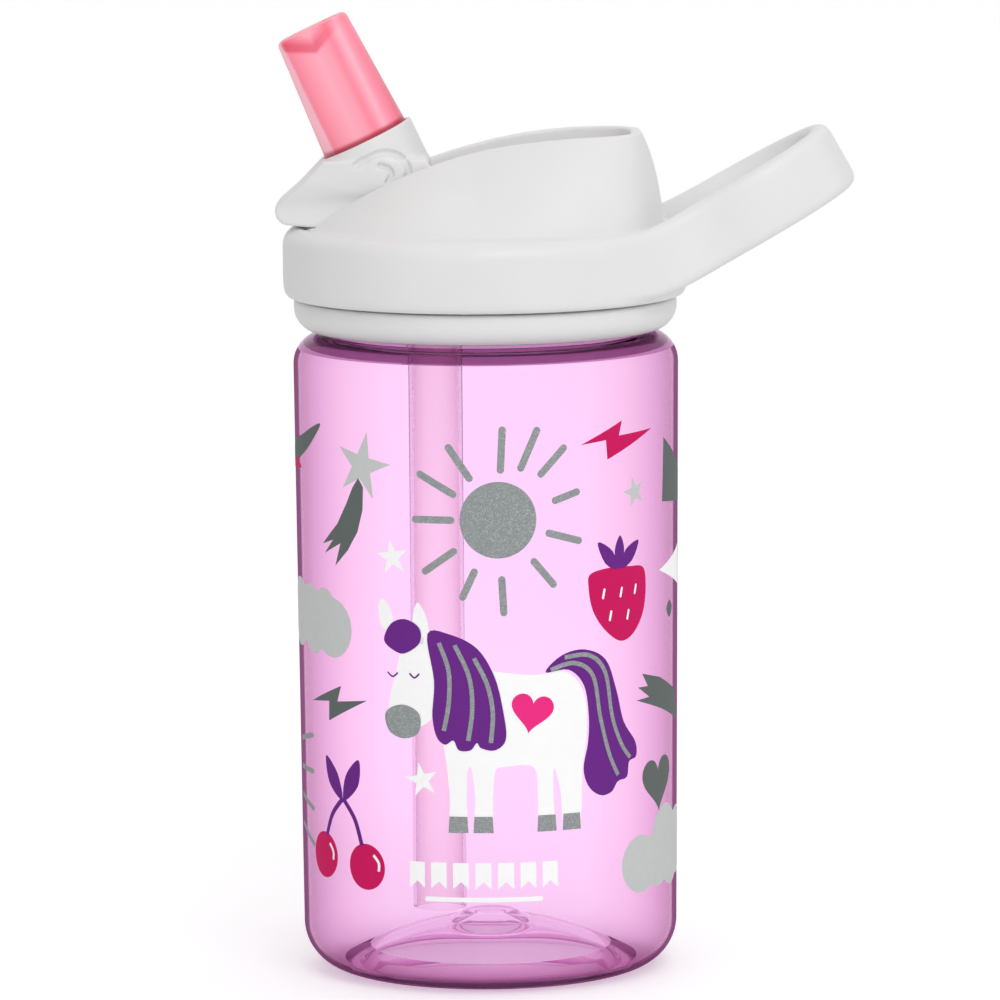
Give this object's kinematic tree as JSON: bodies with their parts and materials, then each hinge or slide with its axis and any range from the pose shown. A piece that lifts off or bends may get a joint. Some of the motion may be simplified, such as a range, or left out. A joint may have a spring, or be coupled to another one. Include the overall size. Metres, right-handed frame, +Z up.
{
  "type": "kids water bottle",
  "caption": "Clear plastic drinking bottle with a screw cap, a carry loop and a flip-up bite spout fed by a straw.",
  "frame": {"origin": "on the plane the bottle stands on, under the middle of the bounding box; the bottle's own axis stands at x = -0.01555 m", "axes": "+Z up along the bottle, +X towards the carry loop, -X towards the open spout, +Y across"},
  "size_m": [0.1092, 0.0766, 0.1821],
  "materials": {
    "clear_pink_plastic": "clear, lightly tinted, glossy",
    "white_plastic": "satin moulded",
    "frosted_plastic": "satin moulded",
    "pink_silicone": "translucent, smooth",
    "grey_silicone": "smooth",
    "straw_plastic": "translucent"
  },
  "bodies": {
    "bottle": {"bottle_body": "clear_pink_plastic"},
    "gasket": {"cap_gasket": "grey_silicone"},
    "cap": {"cap_base": "white_plastic", "cap_shell": "white_plastic", "port_seal": "grey_silicone", "vent_valve": "grey_silicone", "straw": "straw_plastic"},
    "spout": {"spout_lever": "white_plastic", "spout_stem": "frosted_plastic", "bite_valve": "pink_silicone"}
  },
  "joints": [
    {"name": "cap_rise", "type": "slide", "parent": "bottle", "child": "gasket", "axis": [0, 0, 1], "range_m": [0, 0.006], "stiffness_N_per_m": 0.05, "springref_m": 12.685},
    {"name": "cap_turn", "type": "hinge", "parent": "gasket", "child": "cap", "pos_m": [-0.01555, 0, 0.132], "axis": [0, 0, 1], "range_deg": [0, 540]},
    {"name": "spout_flip", "type": "hinge", "parent": "cap", "child": "spout", "pos_m": [-0.02975, 0, 0.148], "axis": [0, 1, 0], "range_deg": [0, 110]}
  ],
  "couplings": [
    {"joint": "cap_rise", "follows": "cap_turn", "m_per_rad": 0.0006366}
  ]
}
